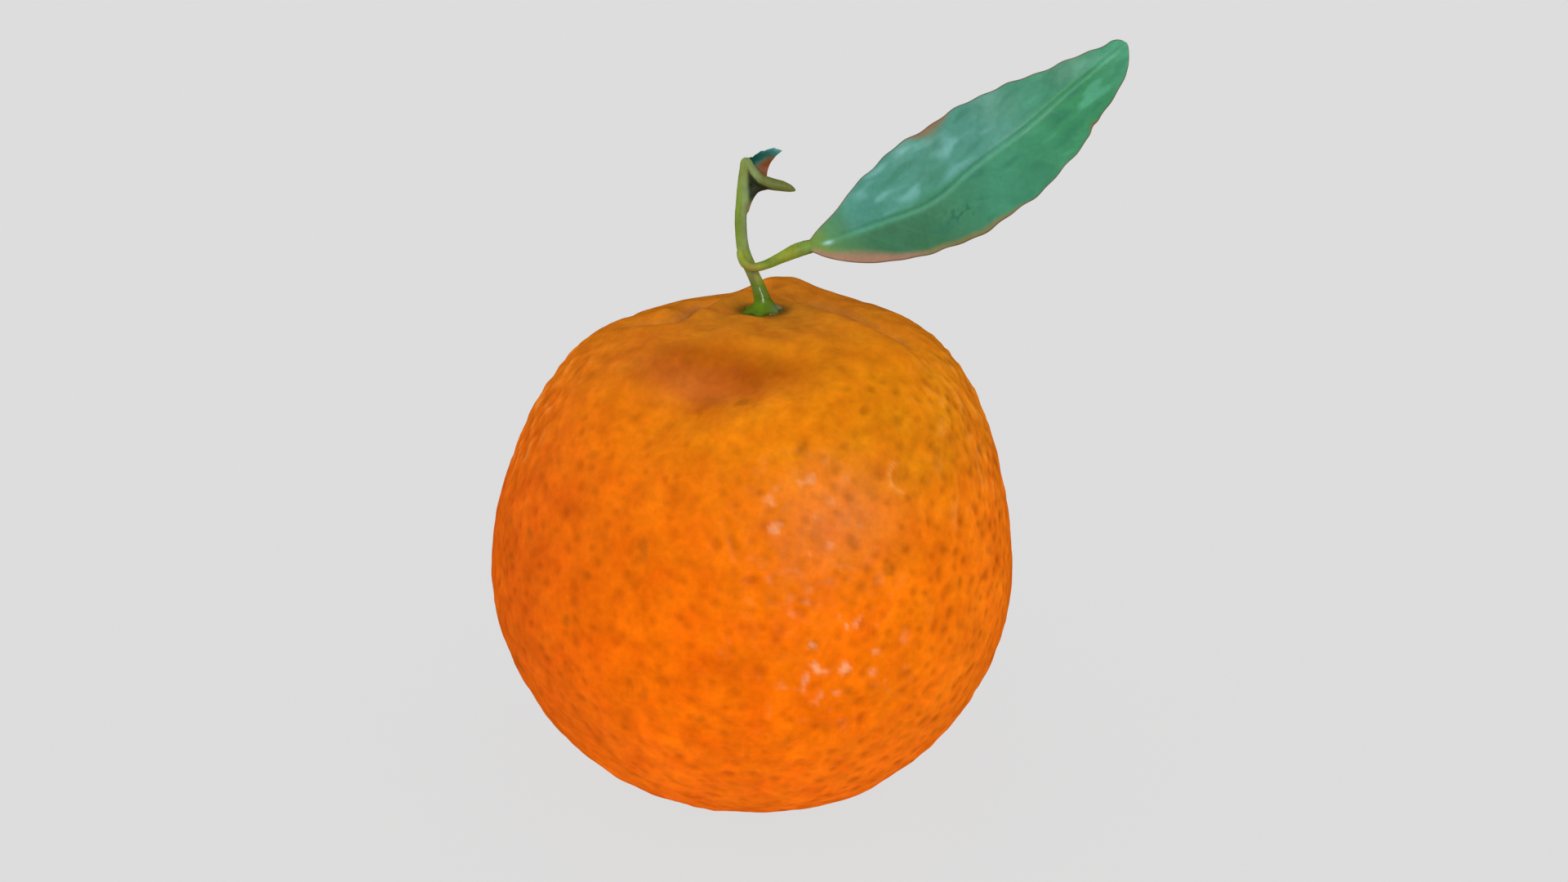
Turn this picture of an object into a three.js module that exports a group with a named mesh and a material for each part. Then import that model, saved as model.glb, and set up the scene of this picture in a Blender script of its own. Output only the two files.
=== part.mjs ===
// An orange of the mandarin kind, freshly cut with its stalk and one leaf.
//
// The fruit stands on its blossom end with the stalk up. Millimetres, +Z up.
// The origin is the centre of the small flat spot the fruit rests on; the
// leaf reaches out towards +X and its upper face looks towards -Y.
//
// Pieces, bottom to top:
//   fruit       one solid body: squat globe, puckered crown round the stalk
//   calyx       green button on the crown, drawn up into the foot of the stalk
//   stem        the cut fruiting stalk, slightly S-bent
//   petiole     leaf stalk, springs from the front of the stem and sweeps out
//   leaf_blade  the blade, hinged to the petiole at the citrus leaf joint
//   side_twig   stub of a cut side shoot near the top of the stem
//   torn_leaf   scrap left of a second leaf, behind the side shoot
import * as THREE from "three";
import { mergeVertices } from "three/addons/utils/BufferGeometryUtils.js";

// ---------------------------------------------------------------- dimensions
const FRUIT_CENTRE_Z = 28.2;   // pole of the profile above the resting spot
const FRUIT_LEAN = 0.028;      // sideways drift of the body per mm of height
// meridian as a short cosine series of the angle from the stalk: it stands 33.0 from the centre at the
// crown, 34 at the equator and 28.2 at the blossom end, with full shoulders
const PROFILE = [33.5, 2.0, -1.2, 0.6, -1.2, -0.2, -0.5];
const SEAT_INNER = 2.4;        // level seat of the calyx, and where it ends
const SEAT_OUTER = 5.0;
// folds of the crown, drawn in plan round the stalk: path, half width, height
const FOLDS = [
  { path: [[1.6, 14.5], [3.2, 14]], width: 3.6, height: 1.7 },                       // back hump
  { path: [[-6, 13], [-15, 8]], width: 4.5, height: -0.9 },
  { path: [[-9, 8.5], [-9, 8]], width: 3.0, height: 0.4 },
  { path: [[3.6, 1.5], [7.5, -1.5], [12, -5.5], [17, -10]], width: 2.8, height: 0.7 },  // right ridge
  { path: [[6.5, 6], [11, 0.5], [16, -3.5]], width: 2.7, height: -1.9 },             // right valley
  { path: [[11, 9], [16, 2]], width: 3.5, height: -0.4 },
  { path: [[16, -3.5], [20, -7.5]], width: 2.5, height: -0.7 },
  { path: [[-1.8, 6.5], [-3.8, 4.4], [-5.8, 1.5], [-7.2, -2]], width: 2.0, height: 0.9 },  // left ridge
  { path: [[-7.6, -3.2], [-12, -5], [-16, -3.5]], width: 2.3, height: 0.2 },
  { path: [[-7.6, 6], [-10.4, -0.5], [-15, 0.5]], width: 2.4, height: -2.0 },        // left valley
  { path: [[-2.7, -5], [-3.2, -11]], width: 2.4, height: 0.5 },
  { path: [[-2.2, -4.4], [0, -4.9], [2.4, -4.0]], width: 1.4, height: 0.25 },        // lip by the calyx
  { path: [[-12, -20], [-5, -19.5], [3, -17.5]], width: 4.4, height: -2.4 },         // front dent
  { path: [[-7, -18.5], [-3, -18]], width: 3.2, height: -1.2 },
];
// broad swells and flats of the body, in degrees round the stalk and down from it
const SWELLS = [
  { azimuth: 0, polar: 84, across: 50, down: 28, height: -0.7 },
  { azimuth: 180, polar: 74, across: 45, down: 25, height: 0.6 },
  { azimuth: -60, polar: 140, across: 30, down: 14, height: 0.4 },
  { azimuth: -140, polar: 118, across: 40, down: 16, height: -0.4 },
];

const GAP = 0.3;               // clearance between neighbouring pieces
const SEAT_Z = 61.2;
const CALYX_RADIUS = 2.6;
const CALYX_HEIGHT = 2.4;
const CALYX_LOBES = 5;
const STEM_RADIUS = 0.76;
const LEAF_THICKNESS = 0.42;
const UPPER_HALF = 7.2;        // widest reach of the blade above the midrib
const LOWER_HALF = 7.8;        // and below it
const V = (x, y, z) => new THREE.Vector3(x, y, z);

// ----------------------------------------------------------------- materials
const PEEL = new THREE.MeshStandardMaterial({ color: "#e87a10", roughness: 0.42, metalness: 0 });
const BARK = new THREE.MeshStandardMaterial({ color: "#738238", roughness: 0.55, metalness: 0 });
const BUTTON = new THREE.MeshStandardMaterial({ color: "#55761b", roughness: 0.35, metalness: 0 });
const LEAF = new THREE.MeshStandardMaterial({ color: "#4b9673", roughness: 0.4, metalness: 0 });
const SCRAP = new THREE.MeshStandardMaterial({ color: "#7b6a48", roughness: 0.6, metalness: 0 });

// --------------------------------------------------------------------- tools
const smooth = (a, b, x) => {
  const t = Math.min(1, Math.max(0, (x - a) / (b - a)));
  return t * t * (3 - 2 * t);
};
const degrees = (radians) => (radians * 180) / Math.PI;

/** Drop the seams of a geometry so that it is one closed skin. */
function closed(geometry) {
  geometry.deleteAttribute("uv");
  geometry.deleteAttribute("normal");
  const skin = mergeVertices(geometry, 1e-4);
  skin.computeVertexNormals();
  return skin;
}

/** Move every vertex of a closed skin with a function of its position. */
function reshape(geometry, move) {
  const skin = closed(geometry);
  const at = skin.attributes.position;
  const p = V(0, 0, 0);
  for (let i = 0; i < at.count; i += 1) {
    p.fromBufferAttribute(at, i);
    move(p);
    at.setXYZ(i, p.x, p.y, p.z);
  }
  skin.computeVertexNormals();
  return skin;
}

function mesh(name, geometry, material) {
  const m = new THREE.Mesh(geometry, material);
  m.name = name;
  return m;
}

/** A round rod along a curve; radiusAt(t) may return [up/down, sideways]. */
function rod(points, radiusAt, sides, steps) {
  const curve = new THREE.CatmullRomCurve3(points, false, "centripetal");
  const cylinder = new THREE.CylinderGeometry(1, 1, 1, sides, steps);
  return reshape(cylinder, (p) => {
    const t = Math.min(1, Math.max(0, p.y + 0.5));
    const centre = curve.getPoint(t);
    const along = curve.getTangent(t);
    // the rods stay near the XZ plane, so -Y serves as the steady side
    const u = V(0, -1, 0).addScaledVector(along, along.y).normalize();
    const v = V(0, 0, 0).crossVectors(along, u).normalize();
    const [ru, rv] = [radiusAt(t)].flat();
    const side = p.x;
    const front = p.z;
    p.copy(centre).addScaledVector(u, front * ru).addScaledVector(v, side * (rv ?? ru));
  });
}

// --------------------------------------------------------------------- fruit
function distanceToPath(path, x, y) {
  let best = Infinity;
  for (let i = 1; i < path.length; i += 1) {
    const [x0, y0] = path[i - 1];
    const [dx, dy] = [path[i][0] - x0, path[i][1] - y0];
    const t = Math.min(1, Math.max(0, ((x - x0) * dx + (y - y0) * dy) / (dx * dx + dy * dy)));
    best = Math.min(best, Math.hypot(x - x0 - t * dx, y - y0 - t * dy));
  }
  return best;
}

/** Point of the skin in the direction polar (from the stalk), azimuth. */
function skinPoint(polar, azimuth) {
  let r = PROFILE.reduce((sum, a, k) => sum + a * Math.cos(k * polar), 0);
  const reach = r * Math.sin(polar);
  const x = reach * Math.cos(azimuth);
  const y = reach * Math.sin(azimuth);
  const crown = smooth(Math.PI / 2, Math.PI / 3, polar) * smooth(SEAT_INNER, SEAT_OUTER, reach);
  for (const fold of FOLDS) {
    r += fold.height * crown * Math.exp(-((distanceToPath(fold.path, x, y) / fold.width) ** 2));
  }
  for (const swell of SWELLS) {
    const turn = ((degrees(azimuth) - swell.azimuth + 540) % 360) - 180;
    const drop = degrees(polar) - swell.polar;
    r += swell.height * Math.exp(-((turn / swell.across) ** 2) - (drop / swell.down) ** 2);
  }
  const z = r * Math.cos(polar) + FRUIT_CENTRE_Z;
  return V(
    r * Math.sin(polar) * Math.cos(azimuth) + FRUIT_LEAN * z,
    r * Math.sin(polar) * Math.sin(azimuth),
    Math.max(0, z),            // the blossom end settles into a flat spot
  );
}

const globe = new THREE.SphereGeometry(1, 80, 42);
globe.rotateX(Math.PI / 2);
const fruit = mesh("fruit", reshape(globe, (p) => {
  const ring = Math.acos(Math.min(1, Math.max(-1, p.z))) / Math.PI;
  const polar = Math.PI * (0.62 * ring + 0.38 * ring * ring);   // finer rings near the crown
  p.copy(skinPoint(polar, Math.atan2(p.y, p.x)));
}), PEEL);

// --------------------------------------------------------------------- calyx
const calyxOutline = [
  [0, 0], [2.1, 0], [2.6, 0.15], [2.55, 0.4], [1.95, 0.75],
  [1.45, 1.15], [1.15, 1.7], [1.0, CALYX_HEIGHT], [0, CALYX_HEIGHT],
].map(([r, z]) => new THREE.Vector2((r / 2.6) * CALYX_RADIUS, z));
const button = new THREE.LatheGeometry(calyxOutline, 32);
button.rotateX(Math.PI / 2);
const calyx = mesh("calyx", reshape(button, (p) => {
  const reach = Math.hypot(p.x, p.y);
  const azimuth = Math.atan2(p.y, p.x);
  const lobe = 1 + 0.11 * smooth(1.2, 2.6, reach) * Math.cos(CALYX_LOBES * azimuth + 0.9);
  p.x = p.x * lobe + 1.9 - 0.22 * p.z;   // drawn over towards the foot of the stem
  p.y *= lobe;
  p.z += SEAT_Z + GAP;
}), BUTTON);

// ---------------------------------------------------------------------- stem
const stemPath = [
  V(1.32, 0, SEAT_Z + 2 * GAP + CALYX_HEIGHT), V(0.9, 0, 65.4), V(0.1, 0, 67.1), V(-0.7, 0, 69.6),
  V(-0.9, 0, 72.5), V(-0.6, 0, 75.5), V(-0.5, 0, 78.0), V(-0.3, 0, 79.7),
];
const stem = mesh("stem", rod(stemPath, (t) => {
  const foot = 0.22 * Math.exp(-((t / 0.12) ** 2));
  const node = 0.1 * Math.exp(-(((t - 0.28) / 0.06) ** 2)) + 0.1 * Math.exp(-(((t - 0.9) / 0.06) ** 2));
  return STEM_RADIUS + foot + node;
}, 16, 24), BARK);

// ----------------------------------------------------------------- side twig
const sideTwig = mesh("side_twig", rod([
  V(0.75, 0, 77.35), V(1.9, -0.05, 77.0), V(3.4, -0.1, 76.6), V(5.8, -0.15, 76.15),
], (t) => {
  const web = Math.exp(-((t / 0.28) ** 2));
  return [0.68 + 0.12 * web, 0.72 + 0.45 * web];
}, 12, 10), BARK);

// ------------------------------------------------------------------- petiole
const petiole = mesh("petiole", rod([
  V(-1.15, -1.45, 68.3), V(-0.55, -1.75, 67.3), V(0.75, -1.75, 66.8), V(2.9, -1.1, 67.3),
  V(4.9, -0.5, 68.2), V(6.5, 0.0, 69.0),
], (t) => 0.5 + 0.12 * Math.exp(-((t / 0.15) ** 2)) + 0.1 * smooth(0.75, 1, t), 12, 18), BARK);

// ---------------------------------------------------------------- leaf blade
const bladeBase = V(7.2, 0, 69.3);
const bladeTip = V(45.3, 3.5, 93.7);
const axis = V(0, 0, 0).subVectors(bladeTip, bladeBase);
const bladeLength = axis.length();
axis.normalize();
// the width direction leans back at its upper edge, the face looks to the front
const rise = V(0, 0.42, 0.9).addScaledVector(axis, -V(0, 0.42, 0.9).dot(axis)).normalize();
const face = V(0, 0, 0).crossVectors(axis, rise).normalize();
const upperHalf = (t) => UPPER_HALF * Math.sin(Math.PI * t ** 0.8) ** 0.96;
const lowerHalf = (t) => LOWER_HALF * Math.sin(Math.PI * t) ** 0.6;

/** Middle surface of the blade: t from base to tip, s from -1 to 1 across. */
function bladePoint(t, s, lift) {
  const inner = Math.min(0.999, Math.max(0.001, t));
  const half = Math.max(0.5, s > 0 ? upperHalf(inner) : lowerHalf(inner));
  const sag = -3.3 * Math.sin(Math.PI * inner ** 0.75);
  const edge = Math.abs(s) ** 1.6;
  const cup = 0.14 * half * edge;                       // shallow gutter along the midrib
  const wave = 0.3 * edge * Math.sin(23 * inner + (s > 0 ? 0.6 : 2.4)) * smooth(0, 0.2, inner);
  const bow = -1.6 * inner * inner + 1.2 * Math.sin(Math.PI * inner);
  return bladeBase.clone()
    .addScaledVector(axis, t * bladeLength)
    .addScaledVector(rise, sag + s * half)
    .addScaledVector(face, cup + wave + bow + lift);
}
const leafBlade = mesh("leaf_blade", reshape(new THREE.BoxGeometry(1, 1, 1, 34, 10, 1), (p) => {
  const thin = LEAF_THICKNESS * (1 - 0.35 * Math.abs(2 * p.y));
  p.copy(bladePoint(p.x + 0.5, 2 * p.y, p.z * thin));
}), LEAF);

// ----------------------------------------------------------------- torn leaf
const tornLeaf = mesh("torn_leaf", reshape(new THREE.BoxGeometry(1, 1, 1, 10, 6, 1), (p) => {
  const along = p.x + 0.5;
  const up = p.y + 0.5;
  const ragged = 0.22 * Math.sin(9 * along) + 0.12 * Math.sin(23 * along + 1);
  const low = 78.9 - 1.1 * Math.sin(Math.PI * along) + ragged * 0.5;
  const high = 79.9 + 1.15 * along ** 0.8 + ragged * 0.4;
  p.set(
    0.75 + 3.35 * along - 0.5 * (1 - up) * along,
    1.25 - 0.35 * up - 0.5 * up * up + 0.35 * along - 0.36 * p.z,
    low + (high - low) * up,
  );
}), SCRAP);

const group = new THREE.Group();
group.name = "orange";
group.add(fruit, calyx, stem, petiole, leafBlade, sideTwig, tornLeaf);
export default group;
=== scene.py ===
"""A fresh orange of the mandarin kind, standing on its blossom end, with its stalk and one leaf.

Lengths are worked out in millimetres and turned into metres when a mesh is made. The shapes follow
the CAD model at a finer resolution and add the relief of the living surface: oil glands, wrinkles,
veins, torn edges.
"""
import math

import bpy
import numpy as np
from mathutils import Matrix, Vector, kdtree, noise


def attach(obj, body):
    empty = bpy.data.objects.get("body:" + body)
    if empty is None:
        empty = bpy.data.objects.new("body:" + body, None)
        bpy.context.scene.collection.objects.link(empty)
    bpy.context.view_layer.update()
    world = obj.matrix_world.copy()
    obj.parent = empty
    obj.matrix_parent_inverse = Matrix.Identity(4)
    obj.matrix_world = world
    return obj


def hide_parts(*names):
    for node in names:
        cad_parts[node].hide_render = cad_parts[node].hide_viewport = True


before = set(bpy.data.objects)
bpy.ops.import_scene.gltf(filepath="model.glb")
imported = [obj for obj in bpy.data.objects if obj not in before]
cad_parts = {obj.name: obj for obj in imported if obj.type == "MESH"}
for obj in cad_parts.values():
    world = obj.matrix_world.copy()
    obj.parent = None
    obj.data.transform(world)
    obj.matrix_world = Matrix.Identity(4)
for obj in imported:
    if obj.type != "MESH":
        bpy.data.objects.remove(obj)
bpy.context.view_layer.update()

MM = 0.001                      # metres in a millimetre
SEED = 20                       # every random draw below starts from this

# ------------------------------------------------------------------ driving sizes, in millimetres
FRUIT_CENTRE_Z = 28.2           # height of the point that the skin's radii start from
FRUIT_LEAN = 0.028              # sideways shift for each mm of height
STALK_X = 1.7                   # where the lean puts the middle of the crown
PROFILE = (33.5, 2.0, -1.2, 0.6, -1.2, -0.2, -0.5)      # cosine series of the angle from the stalk
SEAT_INNER, SEAT_OUTER = 2.4, 5.0       # the folds die away between these distances from the axis
FOLDS = (                       # crown folds in plan: path, half width, height
    (((1.6, 14.5), (3.2, 14)), 3.6, 1.7),                           # back hump
    (((-6, 13), (-15, 8)), 4.5, -0.9),
    (((-9, 8.5), (-9, 8)), 3.0, 0.4),
    (((3.6, 1.5), (7.5, -1.5), (12, -5.5), (17, -10)), 2.8, 0.7),   # right ridge
    (((6.5, 6), (11, 0.5), (16, -3.5)), 2.7, -1.9),                 # right valley
    (((11, 9), (16, 2)), 3.5, -0.4),
    (((16, -3.5), (20, -7.5)), 2.5, -0.7),
    (((-1.8, 6.5), (-3.8, 4.4), (-5.8, 1.5), (-7.2, -2)), 2.0, 0.9),    # left ridge
    (((-7.6, -3.2), (-12, -5), (-16, -3.5)), 2.3, 0.2),
    (((-7.6, 6), (-10.4, -0.5), (-15, 0.5)), 2.4, -2.0),            # left valley
    (((-2.7, -5), (-3.2, -11)), 2.4, 0.5),
    (((-2.2, -4.4), (0, -4.9), (2.4, -4.0)), 1.4, 0.25),            # lip by the calyx
    (((-12, -20), (-5, -19.5), (3, -17.5)), 4.4, -2.4),             # front dent
    (((-7, -18.5), (-3, -18)), 3.2, -1.2),
)
SWELLS = (                      # azimuth, polar, across, down (degrees), height
    (0, 84, 50, 28, -0.7),
    (180, 74, 45, 25, 0.6),
    (-60, 140, 30, 14, 0.4),
    (-140, 118, 40, 16, -0.4),
)
GLAND_COUNT = 3800              # oil glands, about 2 mm apart
FRUIT_CELLS = 128               # cells along each edge of the cube that becomes the fruit


# ------------------------------------------------------------------ small tools
def smooth(a, b, x):
    """0 at a, 1 at b, with a soft start and end; a may be the larger."""
    t = np.clip((x - a) / (b - a), 0, 1)
    return t * t * (3 - 2 * t)


def linear(hex_colour):
    """sRGB hex string to linear RGB."""
    values = [int(hex_colour[i:i + 2], 16) / 255 for i in (1, 3, 5)]
    return np.array([v / 12.92 if v <= 0.04045 else ((v + 0.055) / 1.055) ** 2.4 for v in values])


def wrap(degrees):
    """The same angle between -180 and 180."""
    return (degrees + 180) % 360 - 180


def rough_noise(points, size, octaves=1):
    """Perlin noise of about -1..1 at each point, with blobs of the given size in mm."""
    out = np.zeros(len(points))
    for octave in range(octaves):
        scale = 2.0 ** octave / size
        out += [noise.noise(Vector(p * scale)) / 2.0 ** octave for p in points]
    return out


def paint(colours, layer, weight):
    """Mix a colour into an array of colours."""
    weight = np.clip(weight, 0, 1)[:, None]
    return colours * (1 - weight) + layer * weight


def make_object(name, points, faces, nodes, tints=None, values=None):
    """A smooth-shaded mesh object that stands for the given CAD nodes."""
    mesh = bpy.data.meshes.new(name)
    mesh.from_pydata((np.asarray(points) * MM).tolist(), [], [list(map(int, f)) for f in faces])
    mesh.polygons.foreach_set("use_smooth", [True] * len(mesh.polygons))
    if tints is not None:
        layer = mesh.color_attributes.new("tint", "FLOAT_COLOR", "POINT")
        layer.data.foreach_set("color", np.c_[tints, np.ones(len(tints))].ravel())
    for key, value in (values or {}).items():
        layer = mesh.attributes.new(key, "FLOAT", "POINT")
        layer.data.foreach_set("value", np.asarray(value, float))
    mesh.validate()
    obj = bpy.data.objects.new(name, mesh)
    bpy.context.scene.collection.objects.link(obj)
    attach(obj, "root")
    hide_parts(*nodes)
    return obj


def through(points, steps):
    """A smooth curve through the points, as steps + 1 places on it."""
    pts = np.array(points, float)
    pts = np.vstack([2 * pts[0] - pts[1], pts, 2 * pts[-1] - pts[-2]])
    out = []
    for t in np.linspace(0, len(points) - 1, steps + 1):
        k = min(int(t), len(points) - 2)
        f = t - k
        p0, p1, p2, p3 = pts[k:k + 4]
        out.append(0.5 * (2 * p1 + (p2 - p0) * f + (2 * p0 - 5 * p1 + 4 * p2 - p3) * f * f
                          + (3 * p1 - p0 - 3 * p2 + p3) * f ** 3))
    return np.array(out)


# ------------------------------------------------------------------ the fruit
def cube_sphere(cells):
    """Unit vectors and quads of a cube's surface grid blown up to a sphere."""
    line = np.arange(cells + 1)
    i, j = np.meshgrid(line, line, indexing="ij")
    number = np.arange((cells + 1) ** 2).reshape(cells + 1, cells + 1)
    points, quads = [], []
    for axis in range(3):
        for side in (0, cells):
            lattice = np.empty((cells + 1, cells + 1, 3), int)
            lattice[..., axis] = side
            lattice[..., (axis + 1) % 3] = i
            lattice[..., (axis + 2) % 3] = j
            here = number + len(points) * (cells + 1) ** 2
            quad = np.stack([here[:-1, :-1], here[1:, :-1], here[1:, 1:], here[:-1, 1:]], -1).reshape(-1, 4)
            quads.append(quad if side else quad[:, ::-1])
            points.append(lattice.reshape(-1, 3))
    lattice, number = np.unique(np.concatenate(points), axis=0, return_inverse=True)
    spread = np.tan(np.pi / 4 * (2 * lattice / cells - 1))
    return spread / np.linalg.norm(spread, axis=1)[:, None], number.reshape(-1)[np.concatenate(quads)]


def fold_height(path, width, height, x, y):
    """Height of a rounded fold at x, y: full on its path, fading out over its half width."""
    path = through(path, 6 * (len(path) - 1))
    nearest = np.full(np.shape(x), np.inf)
    for (x0, y0), (x1, y1) in zip(path[:-1], path[1:]):
        dx, dy = x1 - x0, y1 - y0
        t = np.clip(((x - x0) * dx + (y - y0) * dy) / (dx * dx + dy * dy), 0, 1)
        nearest = np.minimum(nearest, (x - x0 - t * dx) ** 2 + (y - y0 - t * dy) ** 2)
    return height * np.exp(-nearest / width ** 2)


def skin(directions, extra=0.0):
    """Points of the skin, in mm, in the given unit directions; extra is added along the radius."""
    polar = np.arccos(np.clip(directions[:, 2], -1, 1))
    azimuth = np.arctan2(directions[:, 1], directions[:, 0])
    r = sum(a * np.cos(k * polar) for k, a in enumerate(PROFILE))
    reach = r * np.sin(polar)
    x, y = reach * np.cos(azimuth), reach * np.sin(azimuth)
    crown = smooth(math.pi / 2, math.pi / 3, polar) * smooth(SEAT_INNER, SEAT_OUTER, reach)
    for path, width, height in FOLDS:
        r = r + crown * fold_height(path, width, height, x, y)
    for az, pol, across, down, height in SWELLS:
        r = r + height * np.exp(-(wrap(np.degrees(azimuth) - az) / across) ** 2
                                - ((np.degrees(polar) - pol) / down) ** 2)
    r = r + extra
    z = r * np.cos(polar) + FRUIT_CENTRE_Z
    flat = np.maximum(z, 0.0)
    x = r * np.sin(polar) * np.cos(azimuth) + FRUIT_LEAN * z
    return np.c_[x, r * np.sin(polar) * np.sin(azimuth), flat]


def spot(directions, azimuth, polar, across, down):
    """1 at a place on the fruit, fading out over the given half widths in degrees of arc."""
    pol = np.degrees(np.arccos(np.clip(directions[:, 2], -1, 1)))
    az = wrap(np.degrees(np.arctan2(directions[:, 1], directions[:, 0])) - azimuth)
    return np.exp(-(az * math.sin(math.radians(polar)) / across) ** 2 - ((pol - polar) / down) ** 2)


PEEL_BY_HEIGHT = (              # polar angle and colour of the skin from the stalk to the blossom end
    (0, "#b87418"), (18, "#c67212"), (30, "#cc720e"), (45, "#dc740a"), (62, "#e66d05"),
    (85, "#ee6b02"), (110, "#f76d02"), (135, "#ff7003"), (180, "#e86405"),
)
PEEL_ZONES = (                  # colour, azimuth, polar, across, down (degrees of arc), strength
    ("#ee7604", -40, 90, 35, 35, 0.75),      # yellower on the right flank
    ("#e08406", -35, 40, 35, 20, 0.85),      # ochre on the upper right
    ("#c07608", -50, 50, 12, 10, 0.35),      # olive cloud in it
    ("#cc5404", -150, 85, 35, 45, 0.8),      # deeper orange on the left flank
    ("#984606", -100, 28, 18, 5, 0.85),      # brown floor of the dent below the crown: partly the peel's own colour, partly painted shade in the hollow
    ("#b85a24", -115, 33, 14, 4, 0.6),       # its rusty left end
    ("#d8783a", -70, 60, 10, 8, 0.5),        # rosy patch
)
HIGHLIGHT_FLECK_PATCHES = (               # azimuth, polar, across, down: where pale speckles of painted highlight gather
    (-80, 60, 8, 8),
    (-75, 85, 12, 10),
)
VALLEY_DEPTH, DENT_DEPTH = -1.5, -2.2       # folds between these depths are the valleys whose floors are tinted and whose creases get painted shade


def ring_scar(directions):
    """A C-shaped welt with a shallow floor, on the right of the front: positive on the welt."""
    az, pol = -55, 55
    polar = np.degrees(np.arccos(np.clip(directions[:, 2], -1, 1)))
    azimuth = np.degrees(np.arctan2(directions[:, 1], directions[:, 0]))
    across = wrap(azimuth - az) * math.sin(math.radians(pol))
    down = polar - pol
    away, turn = np.hypot(across, down), np.degrees(np.arctan2(down, across))
    welt = np.exp(-((away - 2.8) / 0.45) ** 2) * smooth(110, 60, np.abs(wrap(turn - 180)))
    return welt - 0.7 * np.exp(-(away / 1.9) ** 2)


def oil_glands(base):
    """How deep the oil glands are at each point of the skin, from 0 to 1."""
    rng = np.random.default_rng(SEED)
    # a Fibonacci lattice shaken a little
    k = np.arange(GLAND_COUNT) + 0.5
    z = 1 - 2 * k / GLAND_COUNT
    turn = k * math.pi * (3 - math.sqrt(5))
    seeds = np.c_[np.sqrt(1 - z * z) * np.cos(turn), np.sqrt(1 - z * z) * np.sin(turn), z]
    seeds += rng.normal(0, 0.012, seeds.shape)
    seeds /= np.linalg.norm(seeds, axis=1)[:, None]
    tree = kdtree.KDTree(GLAND_COUNT)
    for number, point in enumerate(skin(seeds)):
        tree.insert(point, number)
    tree.balance()
    width = rng.uniform(0.46, 0.76, GLAND_COUNT)
    depth = rng.uniform(0.2, 1.0, GLAND_COUNT)
    gland = np.zeros(len(base))
    for number, point in enumerate(base):
        for _, seed, distance in tree.find_n(point, 2):
            gland[number] += depth[seed] * math.exp(-(distance / width[seed]) ** 2)
    return np.clip(gland, 0, 1)


def peel_colour(base, directions, polar):
    """Colour of the sound peel: a change from stalk to blossom end, broad zones and mottling."""
    angles = [angle for angle, _ in PEEL_BY_HEIGHT]
    stops = np.array([linear(colour) for _, colour in PEEL_BY_HEIGHT])
    tint = np.stack([np.interp(polar, angles, c) for c in stops.T], 1)
    for colour, az, pol, across, down, strength in PEEL_ZONES:
        tint = paint(tint, linear(colour), strength * spot(directions, az, pol, across, down))
    mottle = rough_noise(base + 40, 6.0, 3)
    tint = tint * (1 + 0.11 * np.clip(mottle, -1, 1))[:, None]
    tint = tint * (1 + 0.12 * np.clip(rough_noise(base + 90, 1.8, 2), -1, 1))[:, None]
    return tint * (1 + np.outer(np.clip(rough_noise(base + 15, 3.6, 3), -1, 1), (0.05, 0.16, 0.08)))


def stain_and_shade_crown(tint, base, high, reach):
    """Brownish floors in the valleys of the crown, partly the peel's colour and partly painted light;
    painted shade along their creases, and a ring of painted shade in the hollow by the calyx.
    """
    x, y = base[:, 0] - FRUIT_LEAN * base[:, 2], base[:, 1]
    for path, fold_width, height in FOLDS:
        if DENT_DEPTH < height < VALLEY_DEPTH:
            floor = fold_height(path, 0.6 * fold_width, 1.0, x, y)
            # painted shade: a dark line along the foot of the valley's near wall
            crease_shade = fold_height(path, 0.3 * fold_width, 1.0, x, y + 0.2 * fold_width)
            # the valley floor: partly the peel's brownish colour, partly painted light
            tint = paint(tint, linear("#b4743a"), 0.8 * high * floor)
            tint = paint(tint, linear("#84400c"), 0.75 * high * crease_shade)
    # painted shade in the hollow round the calyx
    return paint(tint, linear("#5a4410"), 0.8 * high * smooth(4.2, 2.6, reach))


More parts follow.
